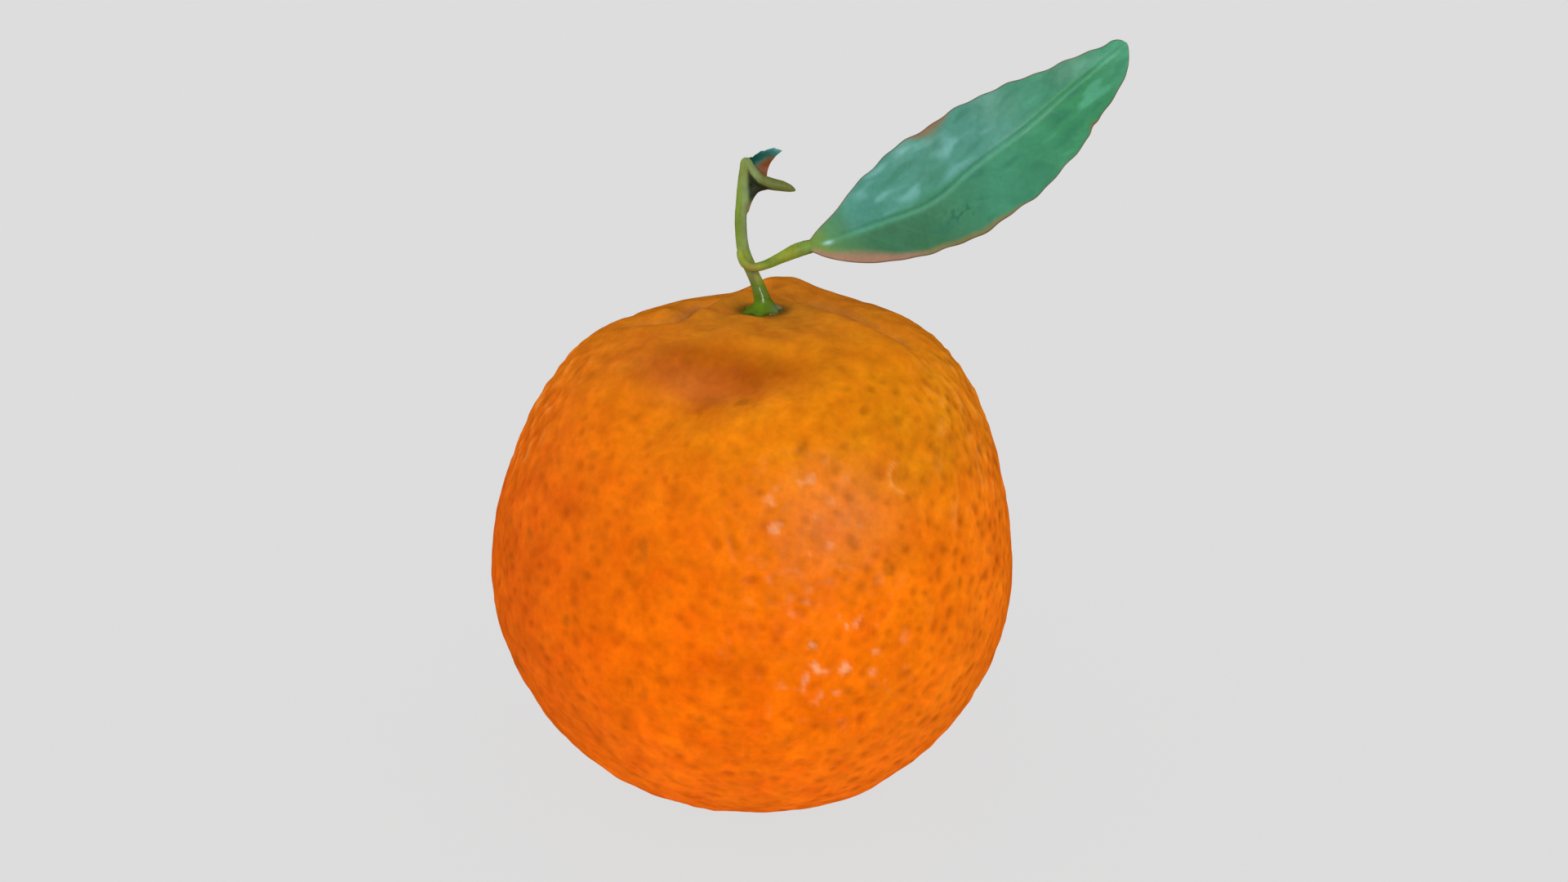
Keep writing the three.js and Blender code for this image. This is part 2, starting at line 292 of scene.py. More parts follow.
def build_fruit():
    directions, quads = cube_sphere(FRUIT_CELLS)
    base = skin(directions)
    gland = oil_glands(base)

    # the dent and the middle of the crown have few glands
    reach = np.hypot(base[:, 0] - STALK_X, base[:, 1])
    high = base[:, 2] > FRUIT_CENTRE_Z
    quiet = np.maximum(spot(directions, -107, 34, 22, 9), np.where(high, smooth(24, 17, reach), 0))
    gland *= 1 - 0.9 * quiet

    polar = np.degrees(np.arccos(np.clip(directions[:, 2], -1, 1)))
    azimuth = np.degrees(np.arctan2(directions[:, 1], directions[:, 0]))
    lumps = 0.2 * rough_noise(base, 9.0) + 0.1 * rough_noise(base, 4.0) + 0.13 * rough_noise(base, 2.4)
    grain = 0.035 * rough_noise(base, 1.3)
    # fine wrinkles run down the shoulders
    combed = np.c_[directions[:, 0] * 24, directions[:, 1] * 24, polar / 12]
    shoulders = smooth(28, 42, polar) * smooth(80, 60, polar) * smooth(35, 70, np.abs(wrap(azimuth + 100)))
    wrinkle = rough_noise(combed, 1.0, 2) * shoulders
    seat = np.where(high, smooth(2.6, 4.5, reach), 1)
    scar = ring_scar(directions)
    pit = np.exp(-((180 - polar) / 3.2) ** 2)
    extra = (lumps + grain + 0.2 * wrinkle) * seat - 0.2 * gland + 0.13 * scar + 0.5 * pit
    points = skin(directions, extra)

    tint = peel_colour(base, directions, polar)
    # painted light and shade along the wrinkles: crests lighter, troughs darker, and pale painted highlight
    # streaks on the crests
    tint = tint * (1 + 0.2 * np.clip(wrinkle, -1, 1))[:, None]
    tint = paint(tint, linear("#e89238"), 0.4 * smooth(0.1, 0.6, wrinkle))
    blotch = smooth(0.55, 0.9, rough_noise(base + 75, 3.0, 2))
    tint = paint(tint, linear("#96500a"), 0.45 * blotch)
    tint = stain_and_shade_crown(tint, base, high, reach)
    # painted highlights: pale speckles laid on the skin in the patches above
    highlight_flecks = smooth(0.35, 0.75, rough_noise(base + 60, 1.6, 2))
    for az, pol, across, down in HIGHLIGHT_FLECK_PATCHES:
        tint = paint(tint, linear("#efb083"), 0.7 * highlight_flecks * spot(directions, az, pol, across, down))
    # the scar's welt is paler than the peel and its floor darker
    tint = paint(tint, linear("#ee9a48"), 0.65 * scar)
    tint = paint(tint, linear("#a8640a"), -0.5 * scar)
    tint = paint(tint, linear("#6a5a20"), 0.8 * pit)
    gland *= 1 - 0.9 * np.clip(pit + np.abs(scar), 0, 1)
    strong = 0.68 + 0.32 * smooth(60, 20, np.abs(wrap(azimuth + 25)))
    return make_object("fruit_peel", points, quads, ["fruit"], tint, {"gland": gland * strong})


# ------------------------------------------------------------------ rods
def rod(points, radii, sides=28, steps=90):
    """A closed tube through the points; radii are given at even places along it."""
    centre = through(points, steps)
    radius = np.interp(np.linspace(0, 1, steps + 1), np.linspace(0, 1, len(radii)), radii)
    along = np.gradient(centre, axis=0)
    along /= np.linalg.norm(along, axis=1)[:, None]
    side = np.cross(along, (0.0, -1.0, 0.0))
    side /= np.linalg.norm(side, axis=1)[:, None]
    front = np.cross(side, along)
    angle = np.linspace(0, 2 * math.pi, sides, endpoint=False)
    ring = (np.cos(angle)[None, :, None] * side[:, None] + np.sin(angle)[None, :, None] * front[:, None])
    points = (centre[:, None] + radius[:, None, None] * ring).reshape(-1, 3)
    faces = []
    for i in range(steps):
        for j in range(sides):
            k = (j + 1) % sides
            faces.append((i * sides + j, i * sides + k, (i + 1) * sides + k, (i + 1) * sides + j))
    faces.append(tuple(range(sides))[::-1])
    faces.append(tuple(range(steps * sides, (steps + 1) * sides)))
    return points, faces


def grown_together(shells, voxel, rounds):
    """Union of closed shells as one skin, with its inner corners rounded off."""
    points, faces = [], []
    for shell_points, shell_faces in shells:
        offset = sum(len(p) for p in points)
        points.append(shell_points)
        faces += [tuple(v + offset for v in f) for f in shell_faces]
    mesh = bpy.data.meshes.new("growing")
    mesh.from_pydata(np.concatenate(points).tolist(), [], faces)
    obj = bpy.data.objects.new("growing", mesh)
    bpy.context.scene.collection.objects.link(obj)
    remesh = obj.modifiers.new("remesh", "REMESH")
    remesh.mode = "VOXEL"
    remesh.voxel_size = voxel
    relax = obj.modifiers.new("relax", "SMOOTH")
    relax.factor = 0.5
    relax.iterations = rounds
    bpy.context.view_layer.update()
    result = obj.evaluated_get(bpy.context.evaluated_depsgraph_get()).to_mesh()
    grown = np.empty(len(result.vertices) * 3)
    result.vertices.foreach_get("co", grown)
    quads = [tuple(p.vertices) for p in result.polygons]
    obj.to_mesh_clear()
    bpy.data.objects.remove(obj)
    bpy.data.meshes.remove(mesh)
    return grown.reshape(-1, 3), quads


def near(points, place, size):
    """1 at a place in mm, fading out over its size, which may differ along x, y and z."""
    return np.exp(-(((points - np.array(place)) / np.array(size)) ** 2).sum(1))


# ------------------------------------------------------------------ stalk, side twig and petiole
STEM_PATH = (
    (1.9, 0, 62.2), (1.35, 0, 63.9), (0.75, 0, 65.5), (0.05, 0, 67.1), (-0.45, 0, 68.4),
    (-0.75, 0, 70.0), (-0.88, 0, 72.5), (-0.68, 0, 75.0), (-0.45, 0, 77.5), (-0.2, 0, 79.6),
)
STEM_RADII = (1.05, 0.9, 0.76, 0.8, 0.78, 0.74, 0.72, 0.76, 0.72, 0.62)
HOOK_PATH = (
    (-0.35, 0, 78.3), (-0.15, -0.2, 79.6), (0.4, -0.35, 78.75), (1.4, -0.3, 77.65),
    (2.6, -0.2, 77.1), (4.2, -0.15, 76.75), (5.2, -0.15, 76.45), (5.8, -0.15, 76.2),
)
HOOK_RADII = (0.66, 0.66, 0.66, 0.72, 0.76, 0.64, 0.44, 0.14)
WEB_PATH = (
    (-0.4, 0.15, 73.6), (0.05, 0.2, 75.2), (0.85, 0.2, 76.4), (2.0, 0.15, 76.8), (3.3, 0.0, 76.8),
)
WEB_RADII = (0.5, 0.62, 0.66, 0.6, 0.45)
GUSSET_PATH = ((-0.4, 0.2, 78.6), (0.3, 0.25, 77.7), (1.2, 0.2, 77.3))
GUSSET_RADII = (0.5, 0.72, 0.6)
PETIOLE_PATH = (
    (-0.75, -0.15, 69.6), (-0.95, -0.75, 68.6), (-0.45, -1.1, 67.45), (0.6, -1.15, 66.95),
    (2.2, -0.85, 67.25), (4.0, -0.5, 68.0), (5.9, -0.1, 68.8), (7.6, 0.25, 69.25), (9.9, 0.7, 69.7),
)
PETIOLE_RADII = (0.3, 0.46, 0.52, 0.54, 0.58, 0.7, 0.9, 0.86, 0.12)


def build_stalk():
    tubes = ((STEM_PATH, STEM_RADII), (HOOK_PATH, HOOK_RADII), (WEB_PATH, WEB_RADII),
             (GUSSET_PATH, GUSSET_RADII), (PETIOLE_PATH, PETIOLE_RADII))
    points, quads = grown_together([rod(path, radii) for path, radii in tubes], voxel=0.11, rounds=6)
    level = np.zeros(len(points))
    points = points + 0.035 * np.c_[rough_noise(points, 1.1), rough_noise(points + 9, 1.1), level]
    x, z = points[:, 0], points[:, 2]
    tint = np.tile(linear("#74873a"), (len(points), 1))
    # painted highlight: paler grey-green on the right of the stem just above the leaf stalk
    tint = paint(tint, linear("#7d9160"), 0.8 * smooth(68, 71, z) * smooth(-0.9, -0.3, x))
    tint = paint(tint, linear("#6b8a2c"), 0.7 * smooth(-0.9, -1.4, x) * smooth(69, 72, z))
    tint = paint(tint, linear("#64682e"), 0.9 * smooth(0.6, 2.0, x) * smooth(75, 76, z))
    tint = paint(tint, linear("#7f8a42"), 0.8 * near(points, (-0.2, -0.6, 79.0), (0.8, 1.0, 1.4)))
    # painted shade: the webbing that fills the angle between the stem and the hook is coloured near black,
    # as shade; the hook's height over x is prong
    prong = np.interp(x, (0.0, 0.4, 1.4, 2.6, 4.2), (79.6, 78.75, 77.65, 77.1, 76.75))
    web_shade = smooth(0.2, 0.55, prong - z) * smooth(-0.15, 0.35, x) * smooth(3.6, 2.2, x) * smooth(74.0, 75.6, z)
    tint = paint(tint, linear("#20241c"), 0.92 * web_shade)
    brown = smooth(-0.4, 0.0, x) * smooth(75.2, 74.2, z) * smooth(70.5, 72, z)
    tint = paint(tint, linear("#7a5a30"), 0.6 * brown)
    leaf_stalk = smooth(0.2, 1.0, x) * smooth(71, 70, z) + near(points, (-0.6, -1.3, 68.2), (0.8, 0.6, 1.0))
    tint = paint(tint, linear("#87932c"), 0.9 * leaf_stalk)
    tint = paint(tint, linear("#9c8a34"), 0.8 * near(points, (0.2, -1.5, 67.0), (1.0, 0.8, 0.6)))
    tint = paint(tint, linear("#5c7f2e"), 0.7 * near(points, (2.4, -0.9, 67.7), (1.8, 1.0, 0.4)))
    tint = paint(tint, linear("#6c8c3e"), 0.8 * smooth(5.0, 7.4, x))
    tint = paint(tint, linear("#84775a"), 0.7 * near(points, (0.6, -0.5, 66.2), (0.5, 1.2, 1.2)))
    tint = paint(tint, linear("#4d681c"), 0.8 * smooth(65.8, 64.2, z))
    obj = make_object("stalk", points, quads, ["stem", "petiole", "side_twig"], tint)
    obj.data.materials.append(plant_material("green_bark", grain_scale=2600, stretch=(1.0, 1.0, 0.25),
                                             roughness=0.42, specular=0.07, relief=0.00006))
    return obj


# ------------------------------------------------------------------ calyx
SEAT_Z = 61.2
CALYX_CENTRE = (1.75, -0.15)
CALYX_RADIUS = 1.95             # between the lobes
CALYX_LOBES = (                 # azimuth and reach of each lobe's tip
    (-148, 3.2), (-100, 3.1), (-38, 2.5), (24, 3.0), (92, 2.7), (158, 2.6),
)


def build_calyx():
    rings, sides = 44, 144
    angle = np.linspace(-180, 180, sides, endpoint=False)
    rim = np.full(sides, CALYX_RADIUS)
    for azimuth, reach in CALYX_LOBES:
        rim += (reach - CALYX_RADIUS) * np.exp(-(wrap(angle - azimuth) / 19) ** 2)
    out = np.linspace(0, 1, rings)
    stations = (0, 0.3, 0.5, 0.68, 0.84, 1)
    profile_z = np.interp(out, stations, (3.3, 1.9, 1.15, 0.65, 0.4, 0.1))
    profile_r = np.interp(out, stations, (0.88, 1.0, 1.14, 1.42, 1.75, CALYX_RADIUS)) / CALYX_RADIUS
    kernel = np.ones(7) / 7
    profile_r = np.convolve(np.pad(profile_r, 3, "edge"), kernel, "valid")
    profile_z = np.convolve(np.pad(profile_z, 3, "edge"), kernel, "valid")
    stem_line = through(STEM_PATH, 60)
    points, depth = [], []
    for ring in range(rings):
        spread = smooth(0.3, 1, out[ring])
        reach = profile_r[ring] * (CALYX_RADIUS * (1 - spread) + rim * spread)
        z = profile_z[ring] - 0.16 * spread * (rim - CALYX_RADIUS)
        stem_x = np.interp(SEAT_Z + profile_z[ring], stem_line[:, 2], stem_line[:, 0])
        centre_x = stem_x * (1 - spread) + CALYX_CENTRE[0] * spread
        points.append(np.c_[centre_x + reach * np.cos(np.radians(angle)),
                            CALYX_CENTRE[1] * spread + reach * np.sin(np.radians(angle)),
                            np.full(sides, SEAT_Z) + z])
        depth.append(np.full(sides, out[ring]))
    skirt = points[-1] - (0, 0, 0.5)
    points = np.concatenate(points + [skirt])
    depth = np.concatenate(depth + [np.ones(sides)])
    faces = []
    for i in range(rings):
        for j in range(sides):
            k = (j + 1) % sides
            faces.append((i * sides + j, (i + 1) * sides + j, (i + 1) * sides + k, i * sides + k))
    faces.append(tuple(range(sides)))
    faces.append(tuple(range(rings * sides, (rings + 1) * sides))[::-1])
    shake = np.c_[rough_noise(points, 1.0), rough_noise(points + 7, 1.0), rough_noise(points + 13, 0.9)]
    points = points + 0.06 * shake * depth[:, None]
    tint = np.tile(linear("#4f6c16"), (len(points), 1))
    tint = paint(tint, linear("#5d8012"), 0.8 * near(points, (1.5, -1.5, 62.2), (1.2, 1.4, 0.8)))
    tint = paint(tint, linear("#5f7a30"), 0.8 * smooth(62.9, 64.0, points[:, 2]))
    tint = paint(tint, linear("#7f8470"), 0.8 * near(points, (3.9, 0.2, 61.6), (1.1, 1.6, 0.6)))
    tint = paint(tint, linear("#3a3c0c"), 0.75 * smooth(0.82, 1.0, depth))
    obj = make_object("calyx_button", points, faces, ["calyx"], tint)
    obj.data.materials.append(plant_material("calyx_flesh", grain_scale=1500, stretch=(1.0, 1.0, 0.5),
                                             roughness=0.22, specular=0.25, relief=0.00005, contrast=0.09))
    return obj


# ------------------------------------------------------------------ leaves
BLADE_BASE = np.array((7.2, 0.0, 69.3))
BLADE_TIP = np.array((45.3, 3.5, 93.7))
UPPER_HALF, LOWER_HALF = 7.2, 7.8
BLADE_AXIS = (BLADE_TIP - BLADE_BASE) / np.linalg.norm(BLADE_TIP - BLADE_BASE)
BLADE_LENGTH = np.linalg.norm(BLADE_TIP - BLADE_BASE)
BLADE_RISE = np.array((0.0, 0.42, 0.9))
BLADE_RISE = BLADE_RISE - BLADE_AXIS * BLADE_RISE.dot(BLADE_AXIS)
BLADE_RISE /= np.linalg.norm(BLADE_RISE)
BLADE_FACE = np.cross(BLADE_AXIS, BLADE_RISE)
VEIN_SPACING = 3.3


def half_width(t, s):
    """Half the blade's width in mm: t from base to tip, s above 0 on the upper side."""
    inner = np.clip(t, 0.001, 0.999)
    upper = UPPER_HALF * np.sin(np.pi * inner ** 0.8) ** 0.96
    lower = LOWER_HALF * np.sin(np.pi * inner) ** 0.6
    half = np.hypot(np.where(s > 0, upper, lower), 1.35 * smooth(0.8, 0.95, t))
    rounded = np.sqrt(np.clip(1 - (np.maximum(t - 0.965, 0) / 0.0352) ** 2, 0, 1))
    base = -0.45 * np.exp(-((t - 0.11) / 0.06) ** 2) * (s > 0)
    return np.maximum(half + base, 0.85) * rounded


def blade_surface(t, s):
    """Middle surface of the blade, in mm: t from base to tip, s from -1 to 1 across."""
    inner = np.clip(t, 0.001, 0.999)
    half = half_width(t, s)
    ragged = 0.1 * np.sin(37 * t + 1.2 * s) + 0.07 * np.sin(83 * t + 2 * s)
    notch = -0.35 * np.exp(-((t - 0.8) / 0.014) ** 2) * (s < 0)
    half = half + (ragged + notch) * smooth(0.1, 0.25, t) * smooth(1, 0.94, t)
    edge = np.abs(s) ** 1.6
    sag = -3.3 * np.sin(np.pi * inner ** 0.75)
    cup = 0.14 * half * edge
    wave = 0.3 * edge * np.sin(23 * inner + np.where(s > 0, 0.6, 2.4)) * smooth(0, 0.2, inner)
    bow = -1.6 * inner ** 2 + 1.2 * np.sin(np.pi * inner)
    return (BLADE_BASE + BLADE_AXIS * (t * BLADE_LENGTH)[:, None] + BLADE_RISE * (sag + s * half)[:, None]
            + BLADE_FACE * (cup + wave + bow)[:, None])


def sheet_faces(rows, columns):
    """Quads of a closed sheet: a front grid, a back grid behind it, and the rim between them."""
    grid = np.arange(rows * columns).reshape(rows, columns)
    back = grid + rows * columns
    faces = []
    for i in range(rows - 1):
        for j in range(columns - 1):
            faces.append((grid[i, j], grid[i + 1, j], grid[i + 1, j + 1], grid[i, j + 1]))
            faces.append((back[i, j], back[i, j + 1], back[i + 1, j + 1], back[i + 1, j]))
    around = [(i, 0) for i in range(rows)] + [(rows - 1, j) for j in range(1, columns)]
    around += [(i, columns - 1) for i in range(rows - 2, -1, -1)]
    around += [(0, j) for j in range(columns - 2, 0, -1)]
    for (a, b), (c, d) in zip(around, around[1:] + around[:1]):
        faces.append((grid[a, b], back[a, b], back[c, d], grid[c, d]))
    return faces


def build_leaf():
    rows, columns = 220, 96
    grid = np.meshgrid(np.linspace(0, 1, rows), np.linspace(-1, 1, columns), indexing="ij")
    t, s = (g.ravel() for g in grid)
    t = 1 - (1 - t) ** 1.4                         # more rows where the tip turns round
    middle = blade_surface(t, s)
    x = s * half_width(t, s)                       # mm from the midrib, upper side positive
    y = t * BLADE_LENGTH
    bend = -1.05 * np.exp(-((t - 0.34) / 0.12) ** 2) - 0.25 * np.exp(-((t - 0.65) / 0.1) ** 2)
    branch = (y - 0.62 * np.abs(x) - 0.035 * x * x) / VEIN_SPACING + np.where(x > 0, 0.35, 0.0)
    off_vein = np.abs(branch - np.round(branch)) * VEIN_SPACING
    fade = smooth(0.05, 0.16, t) * smooth(1.0, 0.8, t)
    fade = fade * smooth(1.0, 0.75, np.abs(s)) * smooth(0.2, 0.9, np.abs(x))
    vein = np.exp(-(off_vein / 0.2) ** 2) * fade
    quilt = np.cos(2 * np.pi * branch) * fade
    rib_width = 0.5 * (1.15 - t)
    rib = np.exp(-((x - bend) / (0.14 + 0.45 * rib_width)) ** 2)
    groove = np.exp(-((x - bend - 0.45 - 0.3 * rib_width) / 0.2) ** 2) * smooth(1.0, 0.9, t)
    speckle = np.exp(-((t - 0.4) / 0.05) ** 2 - ((s + 0.5) / 0.16) ** 2)
    speckle = speckle * smooth(0.0, 0.3, rough_noise(middle, 0.6))
    thick = 0.36 * (1 - 0.35 * np.abs(s)) + 0.3 * np.exp(-t / 0.03)
    lumps = 0.12 * rough_noise(middle, 5.0) + 0.03 * rough_noise(middle, 1.6)
    front = thick / 2 + 0.1 * rib - 0.06 * groove - 0.01 * vein - 0.05 * speckle + lumps
    behind = thick / 2 + (0.5 - 0.35 * t) * rib + 0.09 * vein - 0.04 * quilt - lumps
    points = np.concatenate([middle + BLADE_FACE * front[:, None], middle - BLADE_FACE * behind[:, None]])

    cloud = rough_noise(middle + 30, 5.0, 3)
    tint = np.tile(linear("#3f8767"), (len(t), 1))
    tint = paint(tint, linear("#388556"), 0.8 * smooth(0.5, 0.8, t) * (s < 0.2))
    tint = paint(tint, linear("#4d9a76"), 0.8 * smooth(0.85, 1.0, t))
    tint = paint(tint, linear("#3a6a48"), 0.85 * smooth(0.55, 0.25, t) * smooth(0.1, -0.2, s))
    bluish = smooth(-0.05, 0.15, s) * smooth(0.03, 0.12, t) * smooth(0.8, 0.5, t)
    tint = paint(tint, linear("#4a8b7b"), 0.9 * bluish)
    # painted sheen: pale reflections laid as streaks of noise, about three times as long as wide, that run
    # along the blade
    streak = rough_noise(np.c_[y - 0.6 * np.abs(x), 3 * x, np.zeros_like(x)] + 50, 5.0, 2)
    gloss = smooth(0.0, 0.6, streak) * smooth(-0.1, 0.3, s) * smooth(0.1, 0.25, t) * smooth(0.7, 0.45, t)
    tint = paint(tint, linear("#78b4b0"), 0.65 * gloss)
    # painted light and shade from the same streaks: lighter patches near the tip, darker hollows beyond the
    # base
    tint = paint(tint, linear("#62b494"), 0.45 * smooth(0.1, 0.7, streak) * smooth(0.6, 0.8, t))
    tint = paint(tint, linear("#2e7058"), 0.5 * smooth(0.1, 0.7, -streak) * smooth(0.15, 0.3, t))
    tint = paint(tint, linear("#245a44"), 0.8 * speckle)
    tint = paint(tint, linear("#367758"), 0.5 * smooth(0.1, 0.8, -cloud))
    # painted shade and highlight along the midrib: a dark line where the groove's upper wall is shaded, a
    # pale line on the rib below it where light falls
    tint = paint(tint, linear("#2f6a4c"), 0.4 * groove * smooth(0.0, 0.1, t) * smooth(0.75, 0.35, t))
    tint = paint(tint, linear("#5fa98a"), 0.4 * rib * (1 - groove) * smooth(1.1, 0.5, t))
    tint = paint(tint, linear("#4f957c"), 0.1 * vein)
    tint = paint(tint, linear("#5a8a50"), 0.75 * smooth(0.16, 0.05, t))
    tint = paint(tint, linear("#6c8c3e"), 0.95 * smooth(0.075, 0.025, t))
    glint = np.exp(-((t - 0.055) / 0.012) ** 2 - ((x + 0.05) / 0.28) ** 2)
    tint = paint(tint, linear("#9fd0c8"), 0.85 * glint)
    rim = (1 - np.abs(s)) * half_width(t, s)       # mm to the edge
    blush = 1.2 * np.exp(-((t - 0.11) / 0.08) ** 2) * (s < 0) + 0.65 * smooth(0.58, 0.42, t) * (s < 0) + 0.12
    brown = paint(np.tile(linear("#a27662"), (len(t), 1)), linear("#7c7448"), smooth(0.2, 0.3, t))
    tint = paint(tint, brown, 0.9 * smooth(1.3 * blush, 0.3 * blush, rim) * (t > 0.01))
    scorch = np.exp(-((t - 0.44) / 0.05) ** 2) * (s > 0)
    scorch = scorch + 0.35 * np.exp(-((t - 0.8) / 0.02) ** 2) * (s < 0)
    tint = paint(tint, linear("#8a5a38"), 0.85 * np.exp(-(rim / np.maximum(scorch, 0.05)) ** 2))
    tint = paint(tint, linear("#3a3a26"), 0.6 * smooth(0.2, 0.0, rim))
    under = np.tile(linear("#6f9c62"), (len(t), 1))
    under = paint(under, linear("#9bb878"), 0.8 * rib)
    under = paint(under, linear("#86ab70"), 0.6 * vein)
    under = paint(under, linear("#5d8a58"), 0.4 * smooth(0.0, 0.8, cloud))
    under = paint(under, linear("#8a7a52"), 0.7 * smooth(0.3, 0.0, rim))
    obj = make_object("leaf_blade_veined", points, sheet_faces(rows, columns), ["leaf_blade"],
                      np.concatenate([tint, under]))
    obj.data.materials.append(plant_material("leaf_cuticle", grain_scale=1500, stretch=(1.0, 1.0, 1.0),
                                             roughness=0.38, specular=0.14, relief=0.00005, contrast=0.07))
    return obj


def build_torn_leaf():
    rows, columns = 46, 34
    grid = np.meshgrid(np.linspace(0, 1, rows), np.linspace(0, 1, columns), indexing="ij")
    u, v = (g.ravel() for g in grid)
    ragged = 0.08 * np.sin(17 * u) + 0.04 * np.sin(41 * u + 1)
    top = np.stack([np.interp(u, (0, 0.35, 0.7, 1), (-0.3, 1.0, 2.8, 4.2)), 0.2 - 0.4 * u,
                    np.interp(u, (0, 0.35, 0.7, 1), (79.8, 80.6, 81.4, 81.1))], 1)
    low = np.stack([np.interp(u, (0, 0.5, 1), (-0.1, 1.0, 2.3)), 0.6 + 0.3 * u,
                    np.interp(u, (0, 0.5, 1), (78.9, 77.9, 77.4))], 1)
    middle = low + (top - low) * v[:, None]
    middle[:, 1] += 0.9 * np.sin(np.pi * v) ** 1.2 * (0.4 + 0.6 * u)
    middle[:, 2] += ragged * v ** 3 * np.sin(np.pi * u) ** 0.3
    middle[:, 0] -= 0.5 * np.sin(np.pi * v) * u
    curl = smooth(0.78, 1.0, v)
    middle[:, 1] -= 0.35 * curl
    middle += 0.03 * np.c_[rough_noise(middle, 0.9), rough_noise(middle + 5, 0.9), np.zeros(len(u))]
    thick = 0.16 - 0.05 * v
    points = np.concatenate([middle - np.c_[np.zeros(len(u)), thick, np.zeros(len(u))],
                             middle + np.c_[np.zeros(len(u)), thick, np.zeros(len(u))]])
    tint = np.tile(linear("#8a4a1c"), (len(u), 1))
    teal = smooth(-0.15, 0.2, v - 0.95 * u + 0.2)
    tint = paint(tint, linear("#6f7d6a"), teal)
    tint = paint(tint, linear("#1f6b60"), smooth(0.0, 0.35, v - 0.75 * u + 0.08))
    tint = paint(tint, linear("#54a0a0"), 0.9 * smooth(0.72, 0.95, v) * smooth(0.35, 0.8, u))
    tint = paint(tint, linear("#173f38"), 0.7 * smooth(0.3, 0.0, u) * smooth(0.2, 0.6, v))
    tint = paint(tint, linear("#5a2c10"), 0.6 * smooth(0.25, 0.0, v))
    back = np.tile(linear("#3f7f68"), (len(u), 1))
    back = paint(back, linear("#7a5a34"), 0.8 * smooth(0.6, 1.0, u))
    obj = make_object("torn_leaf_scrap", points, sheet_faces(rows, columns), ["torn_leaf"],
                      np.concatenate([tint, back]))
    obj.data.materials.append(plant_material("dry_leaf", grain_scale=2600, stretch=(1.0, 1.0, 1.0),
                                             roughness=0.5, specular=0.1, relief=0.00008, contrast=0.14))
    return obj


# ------------------------------------------------------------------ materials
def new_material(name):
    material = bpy.data.materials.new(name)
    material.use_nodes = True
    tree = material.node_tree
    return material, tree.nodes, tree.links.new, tree.nodes["Principled BSDF"]


def add(nodes, kind, **settings):
    node = nodes.new(kind)
    for key, value in settings.items():
        setattr(node, key, value)
    return node


def noise_at(nodes, link, place, scale, detail, roughness=0.5):
    texture = add(nodes, "ShaderNodeTexNoise")
    texture.inputs["Scale"].default_value = scale
    texture.inputs["Detail"].default_value = detail
    texture.inputs["Roughness"].default_value = roughness
    link(place, texture.inputs["Vector"])
    return texture.outputs["Fac"]


def remap(nodes, link, value, low, high, to_low, to_high):
    node = add(nodes, "ShaderNodeMapRange")
    for key, number in zip(("From Min", "From Max", "To Min", "To Max"), (low, high, to_low, to_high)):
        node.inputs[key].default_value = number
    link(value, node.inputs["Value"])
    return node.outputs["Result"]


def scale_colour(nodes, link, colour, factor):
    node = add(nodes, "ShaderNodeVectorMath", operation="SCALE")
    link(colour, node.inputs[0])
    link(factor, node.inputs["Scale"])
    return node.outputs["Vector"]


def mix_colour(nodes, link, factor, a, b):
    node = add(nodes, "ShaderNodeMix", data_type="RGBA")
    link(factor, node.inputs["Factor"])
    for socket, colour in ((node.inputs["A"], a), (node.inputs["B"], b)):
        if isinstance(colour, np.ndarray):
            socket.default_value = (*colour, 1)
        else:
            link(colour, socket)
    return node.outputs["Result"]


def bump(nodes, link, height, distance, strength=1.0, before=None):
    node = add(nodes, "ShaderNodeBump")
    node.inputs["Distance"].default_value = distance
    node.inputs["Strength"].default_value = strength
    link(height, node.inputs["Height"])
    if before is not None:
        link(before, node.inputs["Normal"])
    return node.outputs["Normal"]


def peel_material():
    material, nodes, link, shader = new_material("orange_peel")
    place = add(nodes, "ShaderNodeTexCoord").outputs["Object"]
    tint = add(nodes, "ShaderNodeAttribute", attribute_name="tint").outputs["Color"]
    gland = add(nodes, "ShaderNodeAttribute", attribute_name="gland").outputs["Fac"]
    fine = noise_at(nodes, link, place, 1400, 4)
    broad = noise_at(nodes, link, place, 320, 3)
    colour = scale_colour(nodes, link, tint, remap(nodes, link, fine, 0.3, 0.7, 0.93, 1.07))
    colour = scale_colour(nodes, link, colour, remap(nodes, link, broad, 0.3, 0.7, 0.93, 1.07))
    dark = scale_colour(nodes, link, tint, remap(nodes, link, fine, 0.3, 0.7, 0.54, 0.62))
    colour = mix_colour(nodes, link, remap(nodes, link, gland, 0.1, 1.0, 0.0, 0.9), colour, dark)
    link(colour, shader.inputs["Base Color"])
    link(remap(nodes, link, broad, 0.3, 0.7, 0.32, 0.46), shader.inputs["Roughness"])
    shader.inputs["Specular IOR Level"].default_value = 0.02
    cells = add(nodes, "ShaderNodeTexVoronoi")
    cells.inputs["Scale"].default_value = 900
    link(place, cells.inputs["Vector"])
    normal = bump(nodes, link, cells.outputs["Distance"], 0.00008, 0.5)
    normal = bump(nodes, link, fine, 0.0001, 0.5, normal)
    link(normal, shader.inputs["Normal"])
    return material


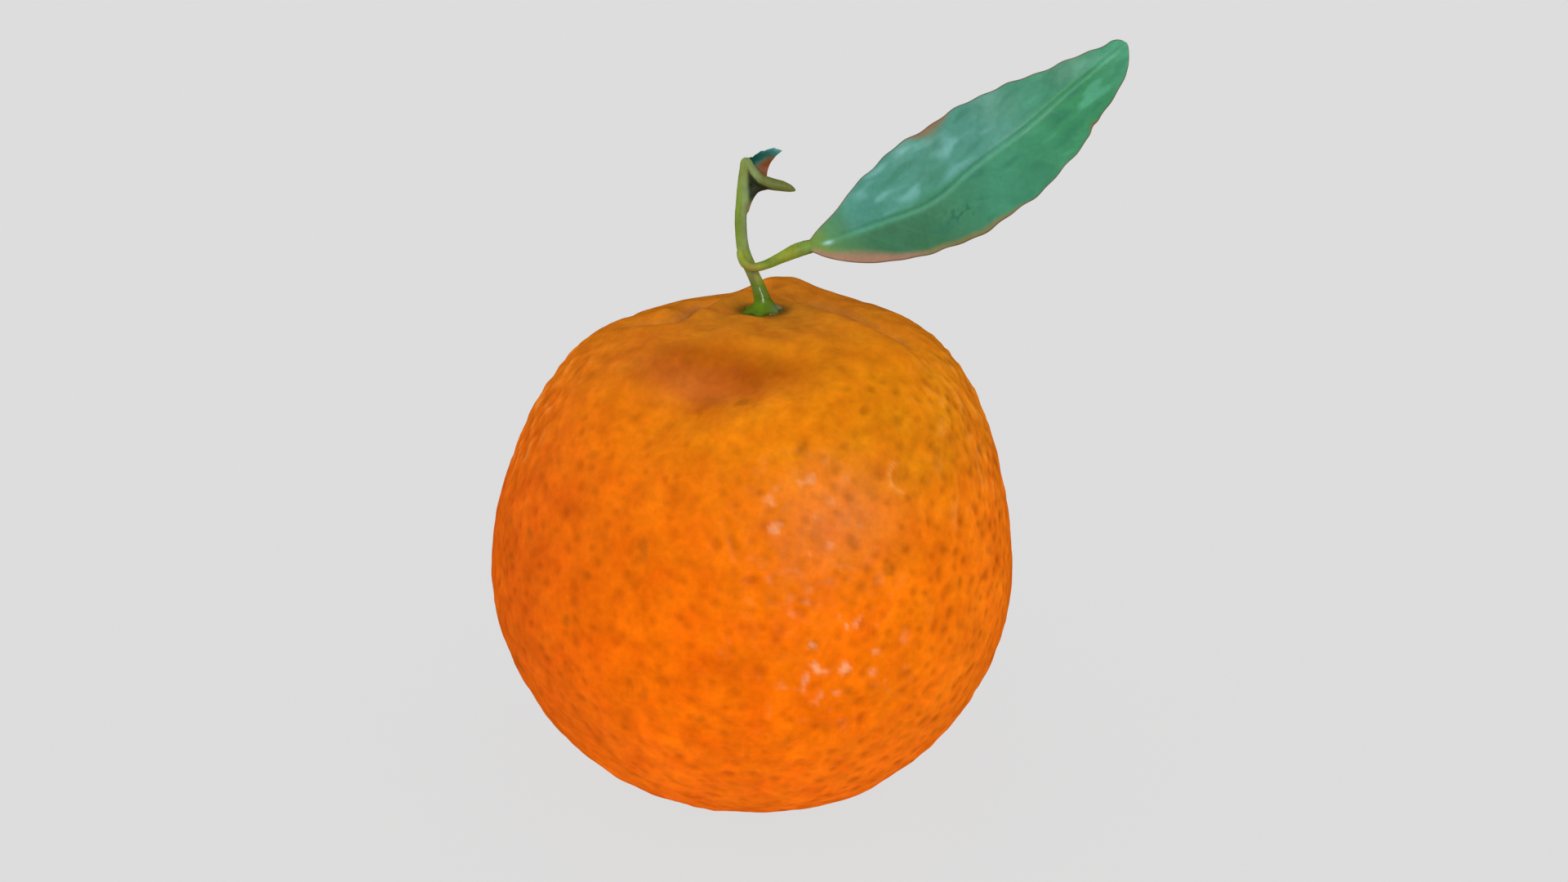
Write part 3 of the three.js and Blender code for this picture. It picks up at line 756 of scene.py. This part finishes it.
def plant_material(name, grain_scale, stretch, roughness, specular, relief, contrast=0.12):
    """Living green tissue: the painted tint, broken up by streaks that run along one axis."""
    material, nodes, link, shader = new_material(name)
    place = add(nodes, "ShaderNodeTexCoord").outputs["Object"]
    mapping = add(nodes, "ShaderNodeMapping")
    mapping.inputs["Scale"].default_value = stretch
    link(place, mapping.inputs["Vector"])
    tint = add(nodes, "ShaderNodeAttribute", attribute_name="tint").outputs["Color"]
    fine = noise_at(nodes, link, mapping.outputs["Vector"], grain_scale, 5, 0.6)
    broad = noise_at(nodes, link, place, grain_scale * 0.2, 3)
    colour = scale_colour(nodes, link, tint, remap(nodes, link, fine, 0.3, 0.7, 1 - contrast, 1 + contrast))
    clouds = remap(nodes, link, broad, 0.3, 0.7, 1 - contrast, 1 + contrast)
    colour = scale_colour(nodes, link, colour, clouds)
    link(colour, shader.inputs["Base Color"])
    link(remap(nodes, link, broad, 0.3, 0.7, roughness - 0.07, roughness + 0.07), shader.inputs["Roughness"])
    shader.inputs["Specular IOR Level"].default_value = specular
    link(bump(nodes, link, fine, relief, 0.6), shader.inputs["Normal"])
    return material


# ------------------------------------------------------------------ stage, light and camera
SURROUND = 0.728                # radiance of the backdrop, which the floor meets without a seam
FLOOR_ALBEDO = 0.04
FLOOR_TRIM = 0.014              # taken off the floor's own glow, so that the lit floor isn't brighter
CAMERA_PLACE = (0.0044, -0.1837, 0.1108)        # metres
CAMERA_TILT = 70                # degrees up from looking straight down


def build_stage():
    mesh = bpy.data.meshes.new("floor")
    side = 6.0
    corners = [(-side, -side, 0), (side, -side, 0), (side, side, 0), (-side, side, 0)]
    mesh.from_pydata(corners, [], [(0, 1, 2, 3)])
    floor = bpy.data.objects.new("floor", mesh)
    bpy.context.scene.collection.objects.link(floor)
    material, nodes, link, shader = new_material("pale_floor")
    place = add(nodes, "ShaderNodeTexCoord").outputs["Object"]
    grain = noise_at(nodes, link, place, 60, 3)
    grain = remap(nodes, link, grain, 0.3, 0.7, 0, 1)
    pale = np.array([FLOOR_ALBEDO] * 3)
    link(mix_colour(nodes, link, grain, pale, pale * 0.98), shader.inputs["Base Color"])
    shader.inputs["Roughness"].default_value = 0.9
    shader.inputs["Specular IOR Level"].default_value = 0.0
    shader.inputs["Emission Color"].default_value = (1, 1, 1, 1)
    shader.inputs["Emission Strength"].default_value = SURROUND * (1 - FLOOR_ALBEDO) - FLOOR_TRIM
    mesh.materials.append(material)
    floor.visible_glossy = False


def build_light():
    """Even studio light: a white surround, three broad lamps for the form and two for the gloss."""
    scene = bpy.context.scene
    scene.view_settings.view_transform = "Standard"
    scene.view_settings.look = "None"
    world = bpy.data.worlds.new("studio")
    world.use_nodes = True
    background = world.node_tree.nodes["Background"]
    background.inputs["Color"].default_value = (1, 1, 1, 1)
    background.inputs["Strength"].default_value = SURROUND
    world.cycles_visibility.glossy = False
    scene.world = world
    for name, tilt, turn, power, spread in (("key", 68, -14, 0.9, 35), ("left", 76, -84, 0.65, 50),
                                            ("right", 74, 62, 0.6, 50)):
        lamp = bpy.data.lights.new(name, "SUN")
        lamp.energy = power
        lamp.angle = math.radians(spread)
        sun = bpy.data.objects.new(name, lamp)
        sun.rotation_euler = (math.radians(tilt), 0, math.radians(turn))
        sun.visible_glossy = False
        scene.collection.objects.link(sun)
    for name, width, height, power, place, turn in (("strip", 0.05, 0.5, 6.0, (0.26, -0.7, 0.28), 20),
                                                    ("soft_box", 0.6, 0.4, 0.4, (-0.25, -0.6, 0.55), -23)):
        lamp = bpy.data.lights.new(name, "AREA")
        lamp.shape = "RECTANGLE"
        lamp.size, lamp.size_y = width, height
        lamp.energy = power
        panel = bpy.data.objects.new(name, lamp)
        panel.location = place
        tilt = math.atan2(math.hypot(place[0], place[1]), place[2] - 0.05)
        panel.rotation_euler = (tilt, 0, math.radians(turn))
        panel.visible_diffuse = False
        scene.collection.objects.link(panel)


def build_camera():
    lens = bpy.data.cameras.new("camera")
    lens.lens = 35
    lens.sensor_width = 36
    lens.clip_start = 0.01
    camera = bpy.data.objects.new("camera", lens)
    camera.location = CAMERA_PLACE
    camera.rotation_euler = (math.radians(CAMERA_TILT), 0, 0)
    bpy.context.scene.collection.objects.link(camera)
    bpy.context.scene.camera = camera


build_camera()
build_light()
build_stage()
fruit = build_fruit()
fruit.data.materials.append(peel_material())
build_calyx()
build_stalk()
build_leaf()
build_torn_leaf()
